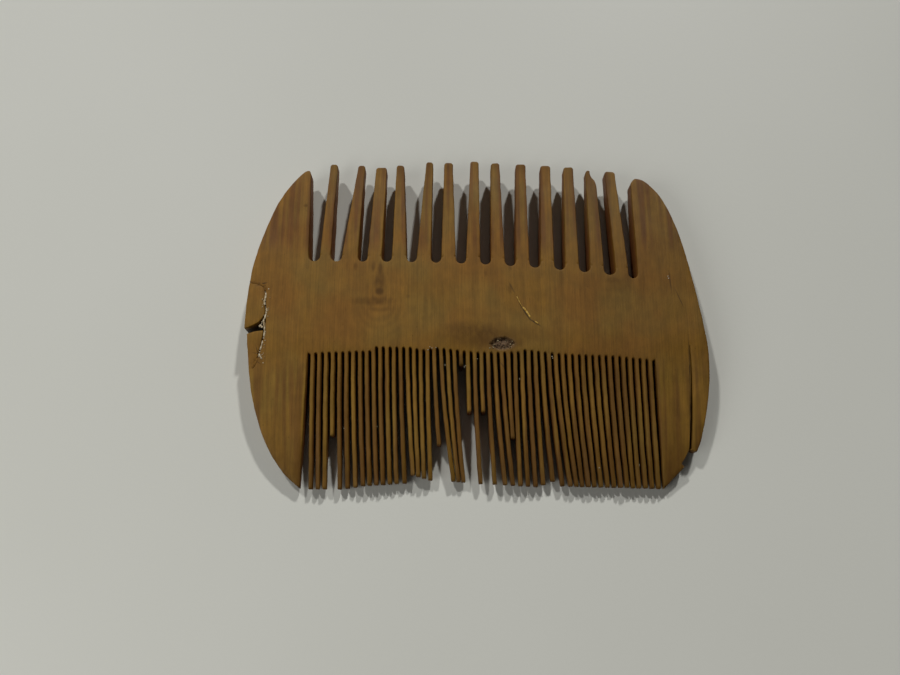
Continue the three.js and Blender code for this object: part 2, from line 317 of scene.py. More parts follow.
def grid_points():
    """An even grid over the wood, closer together at the open knot."""
    xs, ys = (np.arange(low, high, GRID_STEP) for low, high in zip(LOW[:2], HIGH[:2]))
    grid = [(x, y) for x in xs for y in ys if knot_reach(x, y) > 1.5]
    spans = [np.arange(c - 1.5 * h, c + 1.5 * h, KNOT_STEP) for c, h in zip(OPEN_KNOT, KNOT_SIZE)]
    grid += [(x, y) for x in spans[0] for y in spans[1]]
    grid = np.array(grid)
    made = [(point, rim_distance(point)) for point in grid[covered_by_wood(grid)]]
    return [(point, depth) for point, depth in made if depth > EDGE_LEVELS[-1] + GRID_MARGIN]


def seam_points():
    """Points along the lines where CAD nodes meet, and the edges that keep those lines."""
    made, edges = [], []
    for a, b in SEAMS:
        stretch = divided(a, b, GRID_STEP) + [b]
        edges += [(len(made) + i, len(made) + i + 1) for i in range(len(stretch) - 1)]
        made += [(point, rim_distance(point)) for point in stretch]
    return made, edges


def board_plan():
    """Points, their distances from the rim, and triangles, over all of the wood."""
    seams, seam_edges = seam_points()
    known = [(point, 0.0) for point in RIM] + seams + inset_points() + grid_points()
    edges = [(a + len(RIM), b + len(RIM)) for a, b in seam_edges]
    places, corners, _, origins = triangulate([p for p, _ in known], edges, RIM_RINGS)
    depths = np.array([known[o[0]][1] if o else 0.0 for o in origins])
    return places, depths, corners


def node_of_triangles(places, corners):
    """The CAD node that each triangle lies in, or lies nearest to."""
    centres = places[corners].mean(axis=1)
    owner = np.full(len(centres), -1)
    for number, outline in enumerate(OUTLINES.values()):
        near = np.all((centres >= outline.min(0)) & (centres <= outline.max(0)), axis=1)
        found = np.flatnonzero(near)
        owner[found[inside(centres[found], outline)]] = number
    tree = KDTree(len(centres))
    for i, (x, y) in enumerate(centres):
        if owner[i] >= 0:
            tree.insert((x, y, 0), i)
    tree.balance()
    for i in np.flatnonzero(owner < 0):
        owner[i] = owner[tree.find((*centres[i], 0))[1]]
    return owner


def edges_of(triangles):
    return {(int(a), int(b)) for t in triangles for a, b in zip(t, np.roll(t, -1))}


PLAN, DEPTH, CORNERS = board_plan()
OWNER = node_of_triangles(PLAN, CORNERS)
ALL_EDGES = edges_of(CORNERS)
RADII = rim_radii()
NEAREST = np.array([nearest_rim(point) for point in PLAN])


# ---- the height of the surface ----
def cad_section():
    """The board's lowest and highest points against Y, read from the CAD guards and bar."""
    found = {}
    for node in ("left_end_guard", "right_end_guard", "centre_bar"):
        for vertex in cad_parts[node].data.vertices:
            y, z = round(vertex.co.y / MM, 2), vertex.co.z / MM
            low, high = found.get(y, (z, z))
            found[y] = (min(low, z), max(high, z))
    ys = sorted(found)
    return np.array(ys), np.array([found[y] for y in ys])


SECTION_Y, SECTION_Z = cad_section()


def board_section(y):
    """The board's bottom and top at each y, with the CAD's facets smoothed away."""
    shifts = (-1.6, -0.8, 0, 0.8, 1.6)
    return [
        sum(np.interp(y + shift, SECTION_Y, SECTION_Z[:, k]) for shift in shifts) / len(shifts)
        for k in (0, 1)
    ]


def noise_at(points, scale, seed):
    """Smooth noise from -1 to 1 with features of about scale mm; scale may differ by axis."""
    scaled = np.asarray(points) / scale
    return np.array([noise.noise(Vector((x, y, 7.3 * seed))) for x, y in scaled])


def edge_drop(depth, radius):
    """How far a rounded edge has fallen at this depth from the rim."""
    reach = np.clip(radius - depth, 0, None)
    return radius - np.sqrt(radius**2 - reach**2)


def towards_tip(points):
    """0 along the bar, rising to 1 at both rows of tips."""
    y = points[:, 1]
    coarse = np.clip((y - COARSE_ROOT_Y) / (COARSE_TIP_Y - COARSE_ROOT_Y), 0, 1)
    fine = np.clip((y - FINE_ROOT_Y) / (FINE_TIP_Y - FINE_ROOT_Y), 0, 1)
    return coarse, fine


def bend(points):
    """How far the teeth have warped up or down."""
    coarse, fine = towards_tip(points)
    in_teeth = 1 - smooth_step(np.abs(points[:, 0]), 29, 33)
    flat = np.stack([points[:, 0], 0.12 * points[:, 1]], axis=1)
    up = COARSE_BEND * coarse**BEND_POWER * noise_at(flat, 3.4, 1)
    up += FINE_BEND * fine**BEND_POWER * noise_at(flat, 1.5, 2)
    return up * in_teeth


def surface(points, depths, nearest, side):
    """Heights of the top (side 1) or the bottom (side -1) of the wood."""
    low, high = board_section(points[:, 1])
    half = (high - low) / 2
    radius = np.minimum(RADII[nearest], 0.55 * half)
    hollow = 0.05 * (1 + noise_at(points, 7.0, 3 + side)) / 2
    hollow += 0.02 * (1 + noise_at(points, np.array([0.9, 6.0]), 6 + side)) / 2
    if side > 0:
        ragged = knot_reach(*points.T) + 0.22 * noise_at(points, 0.6, 21)
        hollow += KNOT_DEPTH * smooth_step(ragged, 1.0, 0.72)
        hollow -= 0.2 * smooth_step(ragged, 0.8, 0.3) * (1 + noise_at(points, 0.45, 22))
    return (high + low) / 2 + side * (half - hollow - edge_drop(depths, radius)) + bend(points)


def warped(points):
    """The plan with the small wander of hand-sawn edges."""
    moved = np.array(points)
    for axis in (0, 1):
        moved[:, axis] += 0.05 * noise_at(points, 2.2, 11 + axis)
        moved[:, axis] += 0.03 * noise_at(points, 0.7, 14 + axis)
    return moved


TOP_Z = surface(PLAN, DEPTH, NEAREST, 1)
BOTTOM_Z = surface(PLAN, DEPTH, NEAREST, -1)
PLACE = warped(PLAN)


# ---- normals of the whole surface, so that pieces shade alike where they meet ----
def whole_normals():
    """Normals by row, from the top through the rim's walls to the bottom, and by point."""
    heights = np.linspace(TOP_Z, BOTTOM_Z, WALL_ROWS + 1)
    flat = np.broadcast_to(PLACE, (WALL_ROWS + 1, *PLACE.shape))
    spots = np.concatenate([flat, heights[:, :, None]], axis=2)
    normals = np.zeros_like(spots)
    for row, order in ((0, (0, 1, 2)), (WALL_ROWS, (0, 2, 1))):
        a, b, c = (spots[row][CORNERS[:, k]] for k in order)
        for k in range(3):
            np.add.at(normals[row], CORNERS[:, k], np.cross(b - a, c - a))
    rim = np.array(sorted(edge for edge in ALL_EDGES if edge[::-1] not in ALL_EDGES))
    for row in range(WALL_ROWS):
        corners = [(row, rim[:, 1]), (row, rim[:, 0]), (row + 1, rim[:, 0]), (row + 1, rim[:, 1])]
        p0, p1, p2, p3 = (spots[r][v] for r, v in corners)
        for r, v in corners:
            np.add.at(normals[r], v, np.cross(p2 - p0, p3 - p1))
    return normals / np.maximum(np.linalg.norm(normals, axis=2, keepdims=True), 1e-12)


NORMALS = whole_normals()


# ---- pieces ----
def mesh_object(name, vertices, faces, material, smooth=None):
    """An object from points in mm; smooth has one value a face, and all are smooth without it."""
    mesh = bpy.data.meshes.new(name)
    mesh.from_pydata([Vector(v) * MM for v in vertices], [], faces)
    mesh.polygons.foreach_set("use_smooth", smooth or [True] * len(faces))
    mesh.materials.append(material)
    flat = {key for face in mesh.polygons if not face.use_smooth for key in face.edge_keys}
    if flat:
        mesh.edges.foreach_set("use_edge_sharp", [edge.key in flat for edge in mesh.edges])
    made = bpy.data.objects.new(name, mesh)
    bpy.context.scene.collection.objects.link(made)
    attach(made, "root")
    return made


def shade_as_whole(mesh, rows, source):
    """Gives the smooth faces the whole surface's normals, by each point's row and source."""
    loops = []
    for face in mesh.polygons:
        flat = tuple(face.normal)
        for v in face.vertices:
            loops.append(tuple(NORMALS[rows[v], source[v]]) if face.use_smooth else flat)
    mesh.normals_split_custom_set(loops)


def add_attribute(mesh, name, values):
    attribute = mesh.attributes.new(name, "FLOAT", "POINT")
    attribute.data.foreach_set("value", np.asarray(values, np.float32))


def wood_piece(number, node, material):
    """The closed piece of wood that stands for one CAD node."""
    triangles = CORNERS[OWNER == number]
    used = np.unique(triangles)
    at = {int(v): i for i, v in enumerate(used)}
    count = len(used)
    directed = edges_of(triangles)
    border = sorted(edge for edge in directed if edge[::-1] not in directed)

    heights = {v: np.linspace(TOP_Z[v], BOTTOM_Z[v], WALL_ROWS + 1) for v in used}
    vertices = [(*PLACE[v], TOP_Z[v]) for v in used] + [(*PLACE[v], BOTTOM_Z[v]) for v in used]
    source = list(used) * 2
    rows = [0] * count + [WALL_ROWS] * count
    column = {}
    for v in sorted({v for edge in border for v in edge}):
        column[v] = [at[v]]
        for row in range(1, WALL_ROWS):
            column[v].append(len(vertices))
            vertices.append((*PLACE[v], heights[v][row]))
            source.append(v)
            rows.append(row)
        column[v].append(at[v] + count)

    faces = [tuple(at[int(v)] for v in t) for t in triangles]
    faces += [tuple(at[int(v)] + count for v in t[::-1]) for t in triangles]
    smooth = [True] * len(faces)
    for a, b in border:
        for row in range(WALL_ROWS):
            upper_a, lower_a = column[a][row : row + 2]
            upper_b, lower_b = column[b][row : row + 2]
            faces.append((upper_b, upper_a, lower_a, lower_b))
            smooth.append((b, a) not in ALL_EDGES)
    made = mesh_object(node + "_wood", vertices, faces, material, smooth)
    shade_as_whole(made.data, rows, source)
    level = [float(0 < row < WALL_ROWS) for row in rows]
    coarse, fine = towards_tip(PLAN)
    add_attribute(made.data, "wall", level)
    add_attribute(made.data, "coarse_share", coarse[source])
    add_attribute(made.data, "fine_share", fine[source])
    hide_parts(node)


# ---- small things that lie on the wood ----
STRAND_STEP = 0.16
STRAND_SIDES = 8
GRAIN_RINGS = 4
GRAIN_SIDES = 7

TOP_TREE = KDTree(len(PLAN))
for i, (x, y) in enumerate(PLAN):
    TOP_TREE.insert((x, y, 0), i)
TOP_TREE.balance()


def top_at(x, y):
    return TOP_Z[TOP_TREE.find((x, y, 0))[1]]


def strand(name, path, half_width, above, below, material, ragged=0.2):
    """A thin uneven thread along a path in plan, from above to below the wood's top."""
    path = np.array(path, float)
    lengths = np.r_[0, np.cumsum(np.hypot(*np.diff(path, axis=0).T))]
    along = np.linspace(0, lengths[-1], max(8, int(lengths[-1] / STRAND_STEP)))
    centres = np.stack([np.interp(along, lengths, path[:, k]) for k in (0, 1)], axis=1)
    for _ in range(3):
        centres[1:-1] = (centres[:-2] + 2 * centres[1:-1] + centres[2:]) / 4
    forward = np.gradient(centres, axis=0)
    forward /= np.linalg.norm(forward, axis=1, keepdims=True)
    across = np.stack([-forward[:, 1], forward[:, 0]], axis=1)
    ends = np.sqrt(np.clip(np.minimum(along, lengths[-1] - along) / (1.2 * half_width), 0.02, 1))
    sides = STRAND_SIDES
    vertices, faces = [], []
    for i, (centre, side) in enumerate(zip(centres, across)):
        base = max(top_at(*centre), board_section(centre[1])[1] - 0.06)
        for k in range(sides):
            angle = 2 * math.pi * k / sides
            spot = Vector((*(centre * 2.4), 3.1 * k / sides))
            size = ends[i] * (1 + ragged * noise.noise(spot * 1.4))
            upward = math.sin(angle)
            lift = upward * (above if upward > 0 else below)
            plan = centre + side * math.cos(angle) * half_width * size
            vertices.append((*plan, base + lift * size))
    for i in range(len(centres) - 1):
        for k in range(sides):
            a, b = i * sides + k, i * sides + (k + 1) % sides
            faces.append((a, a + sides, b + sides, b))
    last = (len(centres) - 1) * sides
    faces += [tuple(range(sides)), tuple(range(last + sides - 1, last - 1, -1))]
    made = mesh_object(name, vertices, faces, material)
    return made


def crumbs(name, spots, material):
    """Uneven grains at (x, y, half size, how high above the top its middle is)."""
    vertices, faces = [], []
    rings, sides = GRAIN_RINGS, GRAIN_SIDES
    for number, (x, y, size, up) in enumerate(spots):
        base = len(vertices)
        centre = Vector((x, y, top_at(x, y) + up))
        vertices.append(centre + Vector((0, 0, size)))
        for ring in range(1, rings):
            for k in range(sides):
                polar, turn = math.pi * ring / rings, 2 * math.pi * (k + 0.5 * ring) / sides
                wide, high = math.sin(polar), 0.8 * math.cos(polar)
                out = Vector((wide * math.cos(turn), wide * math.sin(turn), high))
                spot = out * 1.7 + centre * 3 + Vector((number, 0, 0))
                vertices.append(centre + out * size * (1 + 0.45 * noise.noise(spot)))
        vertices.append(centre - Vector((0, 0, size)))
        for k in range(sides):
            after = (k + 1) % sides
            faces.append((base, base + 1 + k, base + 1 + after))
            for ring in range(rings - 2):
                a, b = base + 1 + ring * sides + k, base + 1 + ring * sides + after
                faces += [(a, a + sides, b), (b, a + sides, b + sides)]
            tail = base + 1 + (rings - 2) * sides
            faces.append((tail + k, len(vertices) - 1, tail + after))
    made = mesh_object(name, vertices, faces, material)


# ---- materials ----
def srgb(red, green, blue):
    """A display colour from 0 to 255 as the linear colour that a shader takes."""
    shares = [value / 255 for value in (red, green, blue)]
    linear = [v / 12.92 if v <= 0.04045 else ((v + 0.055) / 1.055) ** 2.4 for v in shares]
    return (*linear, 1.0)


class Graph:
    """Short ways to build a material's nodes. Places are in mm in the CAD frame."""

    def __init__(self, name):
        self.material = bpy.data.materials.new(name)
        self.material.use_nodes = True
        self.tree = self.material.node_tree
        self.shader = self.tree.nodes["Principled BSDF"]
        place = self.tree.nodes.new("ShaderNodeTexCoord").outputs["Object"]
        self.place = self.vector("SCALE", place, scale=1 / MM)
        self.split = self.tree.nodes.new("ShaderNodeSeparateXYZ")
        self.link(self.place, self.split.inputs[0])
        self.x, self.y, self.z = self.split.outputs

    def link(self, source, socket):
        self.tree.links.new(source, socket)

    def put(self, value, socket):
        """A link for a socket, and a fixed value for anything else."""
        if isinstance(value, bpy.types.NodeSocket):
            self.link(value, socket)
        else:
            socket.default_value = value

    def vector(self, operation, first, second=(0, 0, 0), scale=1.0):
        node = self.tree.nodes.new("ShaderNodeVectorMath")
        node.operation = operation
        self.put(first, node.inputs[0])
        if operation == "SCALE":
            node.inputs["Scale"].default_value = scale
        else:
            self.put(second, node.inputs[1])
        return node.outputs["Value" if operation in ("LENGTH", "DOT_PRODUCT") else "Vector"]

    def maths(self, operation, first, second=0.0, third=0.0):
        node = self.tree.nodes.new("ShaderNodeMath")
        node.operation = operation
        for socket, value in zip(node.inputs, (first, second, third)):
            self.put(value, socket)
        return node.outputs[0]

    def product(self, first, *others):
        for other in others:
            first = self.maths("MULTIPLY", first, other)
        return first

    def attribute(self, name):
        node = self.tree.nodes.new("ShaderNodeAttribute")
        node.attribute_name = name
        return node.outputs["Fac"]

    def noise(self, size, detail=3.0, roughness=0.5, shift=0.0, distortion=0.0):
        """Noise from 0 to 1; size is how large its features are along each axis, in mm."""
        moved = self.vector("ADD", self.place, (shift, 1.7 * shift, -0.6 * shift))
        scaled = self.vector("DIVIDE", moved, size)
        node = self.tree.nodes.new("ShaderNodeTexNoise")
        self.link(scaled, node.inputs["Vector"])
        node.inputs["Scale"].default_value = 1.0
        node.inputs["Detail"].default_value = detail
        node.inputs["Roughness"].default_value = roughness
        node.inputs["Distortion"].default_value = distortion
        return node.outputs["Fac"]

    def ramp(self, value, start, end, low=0.0, high=1.0):
        """low up to start, high from end on, and smooth in between."""
        node = self.tree.nodes.new("ShaderNodeMapRange")
        node.interpolation_type = "SMOOTHSTEP"
        self.put(value, node.inputs["Value"])
        limits = (("From Min", start), ("From Max", end), ("To Min", low), ("To Max", high))
        for name, number in limits:
            node.inputs[name].default_value = number
        return node.outputs["Result"]

    def mix(self, share, first, second):
        node = self.tree.nodes.new("ShaderNodeMix")
        node.data_type = "RGBA"
        factor, low, high = (node.inputs[i] for i in (0, 6, 7))
        self.put(share, factor)
        self.put(first, low)
        self.put(second, high)
        return node.outputs[2]

    def shade(self, colour, value):
        """The colour times a number."""
        grey = self.tree.nodes.new("ShaderNodeCombineXYZ")
        for socket in grey.inputs:
            self.put(value, socket)
        return self.vector("MULTIPLY", colour, grey.outputs[0])

    def blob(self, centre, size, soft=0.5):
        """1 in the middle of an ellipse on the plan, falling to 0 outside it."""
        away = self.vector("SUBTRACT", self.place, (*centre, 0))
        away = self.vector("MULTIPLY", away, (1 / size[0], 1 / size[1], 0))
        return self.ramp(self.vector("LENGTH", away), 1 - soft, 1 + soft, 1, 0)

    def streak(self, start, end, width, soft=0.5):
        """1 along a line in plan, falling to 0 beside it and past its ends."""
        middle = [(a + b) / 2 for a, b in zip(start, end)]
        run = [(b - a) / 2 for a, b in zip(start, end)]
        length = math.hypot(*run)
        along = (run[0] / length, run[1] / length, 0)
        away = self.vector("SUBTRACT", self.place, (*middle, 0))
        u = self.maths("DIVIDE", self.vector("DOT_PRODUCT", away, along), length)
        v = self.vector("DOT_PRODUCT", away, (-along[1], along[0], 0))
        v = self.maths("DIVIDE", v, width)
        reach = self.maths("SQRT", self.maths("MULTIPLY_ADD", u, u, self.maths("MULTIPLY", v, v)))
        return self.ramp(reach, 1 - soft, 1 + soft, 1, 0)

    def bump(self, height, distance):
        """Bump from a height of 0 to 1 that stands for distance mm."""
        node = self.tree.nodes.new("ShaderNodeBump")
        node.inputs["Distance"].default_value = distance * MM
        self.put(height, node.inputs["Height"])
        return node.outputs["Normal"]

    def finish(self, colour, roughness, normal):
        self.put(colour, self.shader.inputs["Base Color"])
        self.put(roughness, self.shader.inputs["Roughness"])
        self.link(normal, self.shader.inputs["Normal"])
        return self.material


# Wood colours as they look in full light.
WOOD_OCHRE = srgb(123, 87, 25)
WOOD_RED = srgb(122, 77, 30)
WOOD_OLIVE = srgb(116, 92, 37)
WOOD_DARK = srgb(76, 48, 3)
WOOD_BLACK = srgb(30, 18, 10)
# Reddish brown of the walls: grime, with painted shade and painted reddish bounce light.
GRIME_AND_SHADE = srgb(126, 54, 40)
ROT_DARK = srgb(62, 42, 22)
ROT_PALE = srgb(112, 88, 62)
PIN_KNOT = (-16.95, 4.2)
# Stains and painted shade on the top: centre, half sizes, how strong. A comment covers the rows
# below it too.
STAINS_AND_SHADE_MARKS = (
    ((25.7, 5.3), (1.8, 1.3), 0.4),  # below the last coarse gap
    ((-16.95, 6.0), (0.9, 1.9), 0.72),  # streak above the pin knot
    ((-18.4, 2.45), (3.3, 0.7), 0.6),  # bands below the pin knot
    ((-16.6, 0.9), (1.9, 0.35), 0.25),
    ((0.4, -3.9), (5.4, 2.2), 0.6),  # halo of the open knot
    ((-1.6, -2.9), (4.2, 1.3), 0.35),
    ((3.0, -4.4), (3.2, 1.5), 0.4),
    ((-2.6, -8.2), (0.5, 1.0), 0.8),  # stub of a broken fine tooth
    ((9.0, -3.6), (4.0, 1.2), 0.28),  # right of the open knot
    ((7.2, -5.1), (1.2, 0.7), 0.5),
    ((-30.75, 20.8), (0.35, 0.3), 0.75),  # spot on the left guard
    ((34.5, 12.0), (5.0, 8.0), 0.16),  # shade on the right guard
    ((6.1, 4.6), (0.4, 0.8), 0.4),  # spots on the bar
    ((1.8, 7.5), (0.3, 0.6), 0.35),
    ((15.2, 7.0), (0.4, 1.3), 0.35),
    ((-11.9, 3.3), (0.35, 0.3), 0.4),
    ((-18.1, 8.9), (0.4, 0.9), 0.6),  # painted shade of unmodelled saw nicks at the coarse teeth's roots
    ((-16.9, 8.6), (0.45, 1.0), 0.75),
    ((-21.3, 8.9), (0.35, 0.7), 0.6),
    ((6.2, 8.9), (0.3, 0.9), 0.4),
    ((24.2, 6.3), (1.1, 0.5), 0.45),  # round the last coarse gap
    ((27.3, 6.9), (0.8, 0.9), 0.4),
    ((29.6, 5.2), (1.0, 1.6), 0.22),
    ((-2.9, 17.4), (0.8, 0.3), 0.55),  # mark on coarse tooth 7
    ((35.5, 13.5), (2.4, 2.0), 0.25),  # shade on the right guard
)
# Thin dark lines on the top, scratches, cracks and the fibre's painted shadow: two ends, half
# width, how strong.
SCRATCHES_AND_SHADOW_LINES = (
    ((-38.6, 5.3), (-36.9, 5.8), 0.14, 0.7),  # beside the upper left joint
    ((7.25, 3.3), (8.1, 1.1), 0.10, 0.7),  # painted shadow lines of the fibre
    ((8.1, 1.2), (9.5, -1.0), 0.14, 0.8),
    ((9.4, -0.9), (11.2, -2.1), 0.12, 0.8),
    ((5.9, 5.9), (6.9, 3.9), 0.14, 0.4),
    ((3.2, -4.65), (5.2, -4.35), 0.17, 0.95),  # rim of the open knot
    ((5.0, -4.35), (6.4, -5.1), 0.15, 0.9),
    ((36.9, -4.8), (36.8, -13.7), 0.09, 0.8),  # split along the right sliver
    ((36.8, -13.0), (36.5, -22.8), 0.10, 0.85),
    ((4.0, -8.3), (5.2, -9.9), 0.12, 0.5),  # hair on a fine tooth
    ((34.3, 8.1), (34.5, 4.4), 0.10, 0.5),  # cracks on the right guard
    ((35.2, 4.6), (36.4, 1.4), 0.10, 0.5),
    ((-38.2, -5.6), (-37.4, -8.2), 0.08, 0.6),  # cracks on the lower left fragment
    ((-38.6, -6.9), (-37.0, -7.2), 0.07, 0.6),
    ((-38.4, -8.1), (-37.2, -8.9), 0.07, 0.5),
)


def tooth_tones(g, colour, coarse, fine):
    """The colour with each tooth's own hue, and how light or dark each tooth is."""
    each_tooth = g.noise((1.2, 30, 9), detail=1, shift=57)
    in_teeth = g.ramp(g.maths("ADD", fine, coarse), 0.02, 0.25)
    reddish = g.product(g.ramp(each_tooth, 0.44, 0.62), in_teeth, 0.7)
    colour = g.mix(reddish, colour, WOOD_RED)
    colour = g.mix(g.product(g.ramp(fine, 0.0, 0.2), 0.3), colour, WOOD_OLIVE)
    shade = g.product(g.ramp(each_tooth, 0.35, 0.65, 0.2, -0.2), in_teeth)
    return colour, g.maths("ADD", shade, 1.0)


def ring_shade(g, on_top):
    """Faint growth rings round the pin knot."""
    wobble = g.noise((2.4, 2.4, 2.4), detail=2, shift=83)
    rings = g.vector("SUBTRACT", g.place, (*PIN_KNOT, 0))
    rings = g.vector("LENGTH", g.vector("MULTIPLY", rings, (1, 0.62, 0)))
    rings = g.maths("MULTIPLY_ADD", wobble, 0.9, rings)
    turns = g.maths("SINE", g.product(rings, 6.3))
    near_knot = g.blob((-16.6, 1.0), (3.8, 4.8), 0.6)
    return g.maths("MULTIPLY_ADD", g.product(turns, near_knot, on_top), 0.07, 1.0)


def marked(g, colour, on_top):
    """The colour with the pin knot, the top's stains and scratches, and painted shade and shadow
    lines on the top.
    """
    colour = g.shade(colour, ring_shade(g, on_top))
    pin_knot = g.blob(PIN_KNOT, (0.7, 0.6), 0.6)
    colour = g.mix(g.product(pin_knot, on_top, 0.8), colour, WOOD_DARK)
    blotch = g.noise((0.8, 1.4, 0.8), detail=3, shift=5)
    stain_and_shade_share = g.product(g.ramp(blotch, 0.2, 0.7, 0.5, 1), on_top)
    for centre, size, strength in STAINS_AND_SHADE_MARKS:
        share = g.product(g.blob(centre, size, 0.6), stain_and_shade_share, strength)
        colour = g.mix(share, colour, WOOD_DARK)
    scratch_and_shadow_share = g.product(g.ramp(blotch, 0.25, 0.6, 0.6, 1), on_top)
    for start, end, width, strength in SCRATCHES_AND_SHADOW_LINES:
        share = g.product(g.streak(start, end, width), scratch_and_shadow_share, strength)
        colour = g.mix(share, colour, WOOD_BLACK)
    return colour


def dirtied_and_shaded(g, colour, coarse, fine, wall):
    """The colour with grime and painted shade on the gaps' walls, painted reddish bounce light on
    every wall, walls darker towards the bottom, painted shade in the left wedge and towards the
    fine tips, dark wear at the coarse tips, and dark specks.
    """
    dirt_and_shade_mottle = g.noise((0.5, 2.4, 0.5), detail=3, roughness=0.6, shift=91)
    in_rows = g.ramp(g.maths("ABSOLUTE", g.x), 30.5, 32.5, 1, 0)
    # Grime with painted shade on the walls inside the gaps between the teeth.
    gap_wall_grime_and_shade = g.product(g.ramp(wall, 0, 0.8), in_rows, g.ramp(dirt_and_shade_mottle, 0.2, 0.7, 0.05, 0.4))
    colour = g.mix(gap_wall_grime_and_shade, colour, GRIME_AND_SHADE)
    # Every wall is tinted red: painted reddish bounce light, as in the gaps.
    colour = g.mix(g.product(g.ramp(wall, 0.1, 0.9), 0.35), colour, WOOD_RED)
    # Walls darker and redder towards the bottom.
    low = g.product(g.ramp(g.z, MIDDLE_Z - 2.0, MIDDLE_Z, 0.25, 0.0), wall)
    colour = g.mix(low, colour, GRIME_AND_SHADE)
    # Painted shade: the walls inside the wedge-shaped split at the left are painted near black.
    painted_wedge_shade = g.product(g.blob((-38.6, -1.9), (2.4, 2.2), 0.3), wall, 0.85)
    colour = g.mix(painted_wedge_shade, colour, WOOD_BLACK)
    # Painted shade: the fine teeth darken towards their tapered tips.
    fine_tip_shade = g.product(g.ramp(fine, 0.5, 1.0), g.ramp(dirt_and_shade_mottle, 0.2, 0.8, 0.3, 0.7))
    colour = g.mix(fine_tip_shade, colour, WOOD_DARK)
    coarse_tip = g.product(g.ramp(coarse, 0.85, 1.1), g.ramp(dirt_and_shade_mottle, 0.2, 0.8, 0.1, 0.5))
    colour = g.mix(coarse_tip, colour, WOOD_DARK)
    specks = g.ramp(g.noise((0.35, 0.5, 0.35), detail=1, shift=203), 0.74, 0.8)
    return g.mix(g.product(specks, 0.5), colour, WOOD_DARK)


def make_wood():
    g = Graph("old_wood")
    coarse, fine, wall = (g.attribute(n) for n in ("coarse_share", "fine_share", "wall"))
    on_top = g.ramp(g.z, MIDDLE_Z - 0.5, MIDDLE_Z + 0.5)

    patches = g.noise((9, 11, 9), detail=3, roughness=0.55)
    olive = g.noise((8, 10, 8), detail=2, roughness=0.5, shift=31)
    colour = g.mix(g.ramp(patches, 0.35, 0.68, 0, 0.45), WOOD_OCHRE, WOOD_RED)
    colour = g.mix(g.ramp(olive, 0.4, 0.7, 0.1, 0.55), colour, WOOD_OLIVE)
    colour, tooth_shade = tooth_tones(g, colour, coarse, fine)

    grain = g.noise((0.22, 9, 2), detail=4, roughness=0.6, distortion=0.15)
    pores = g.noise((0.1, 1.6, 0.8), detail=2, roughness=0.6, shift=13)
    bands = g.noise((1.9, 34, 8), detail=2, shift=71)
    cloud = g.noise((1.6, 2.6, 3), detail=3, roughness=0.6, shift=19)
    value = g.product(
        g.ramp(grain, 0.25, 0.75, 0.86, 1.13),
        g.ramp(pores, 0.22, 0.5, 0.88, 1.03),
        g.ramp(bands, 0.3, 0.7, 0.93, 1.06),
        g.ramp(cloud, 0.25, 0.75, 0.88, 1.09),
        g.ramp(g.x, -10, 40, 1.04, 0.84),
        g.ramp(fine, 0.0, 0.3, 1.0, 1.04),
        g.ramp(coarse, 0.0, 0.3, 1.0, 0.9),
        tooth_shade,
    )
    colour = marked(g, g.shade(colour, value), on_top)

    rotten = g.noise((0.3, 0.3, 0.3), detail=3, roughness=0.7, shift=117)
    rot = g.mix(g.ramp(rotten, 0.4, 0.62), ROT_DARK, ROT_PALE)
    rot = g.mix(g.ramp(rotten, 0.32, 0.46, 1, 0), rot, WOOD_BLACK)
    inside_knot = g.blob(OPEN_KNOT, [0.95 * half for half in KNOT_SIZE], 0.4)
    colour = g.mix(g.product(inside_knot, on_top), colour, rot)
    colour = dirtied_and_shaded(g, colour, coarse, fine, wall)

    saw = g.noise((2.5, 0.22, 2.5), detail=2, shift=41)
    height = g.maths("ADD", grain, g.product(pores, 0.8))
    height = g.maths("ADD", height, g.product(saw, wall, 1.5))
    height = g.maths("MULTIPLY_ADD", g.product(rotten, inside_knot), 3.0, height)
    g.shader.inputs["Specular IOR Level"].default_value = 0.22
    return g.finish(colour, g.ramp(patches, 0.3, 0.7, 0.52, 0.68), g.bump(height, 0.035))


def make_grainy(name, low, high, size, roughness):
    """A two-tone material for the small things on the wood."""
    g = Graph(name)
    tone = g.noise((size, size, size), detail=3, roughness=0.6, shift=7)
    colour = g.mix(g.ramp(tone, 0.35, 0.65), low, high)
    normal = g.bump(g.noise((0.12, 0.12, 0.12), detail=2), 0.04)
    g.shader.inputs["Specular IOR Level"].default_value = 0.2
    return g.finish(colour, g.ramp(tone, 0.3, 0.7, roughness - 0.08, roughness + 0.08), normal)


def make_table():
    g = Graph("pale_table")
    colour = g.mix(g.noise((60, 60, 60), detail=2), srgb(208, 208, 198), srgb(214, 214, 205))
    normal = g.bump(g.noise((0.6, 0.6, 0.6), detail=2), 0.01)
    return g.finish(colour, 0.55, normal)


WOOD = make_wood()
for number, node in enumerate(WOOD_NODES):
    wood_piece(number, node, WOOD)

BEAD = make_grainy("old_adhesive", srgb(150, 128, 92), srgb(216, 202, 172), 0.4, 0.7)
GRIT = make_grainy("pale_grit", srgb(150, 138, 116), srgb(214, 206, 190), 0.3, 0.6)
DULL_GRIT = make_grainy("dull_grit", srgb(92, 74, 48), srgb(168, 152, 118), 0.25, 0.6)
PACKED_DIRT = make_grainy("packed_dirt", srgb(96, 64, 20), srgb(120, 84, 28), 0.4, 0.75)
FIBRE = make_grainy("golden_fibre", srgb(150, 112, 34), srgb(206, 168, 84), 0.5, 0.4)

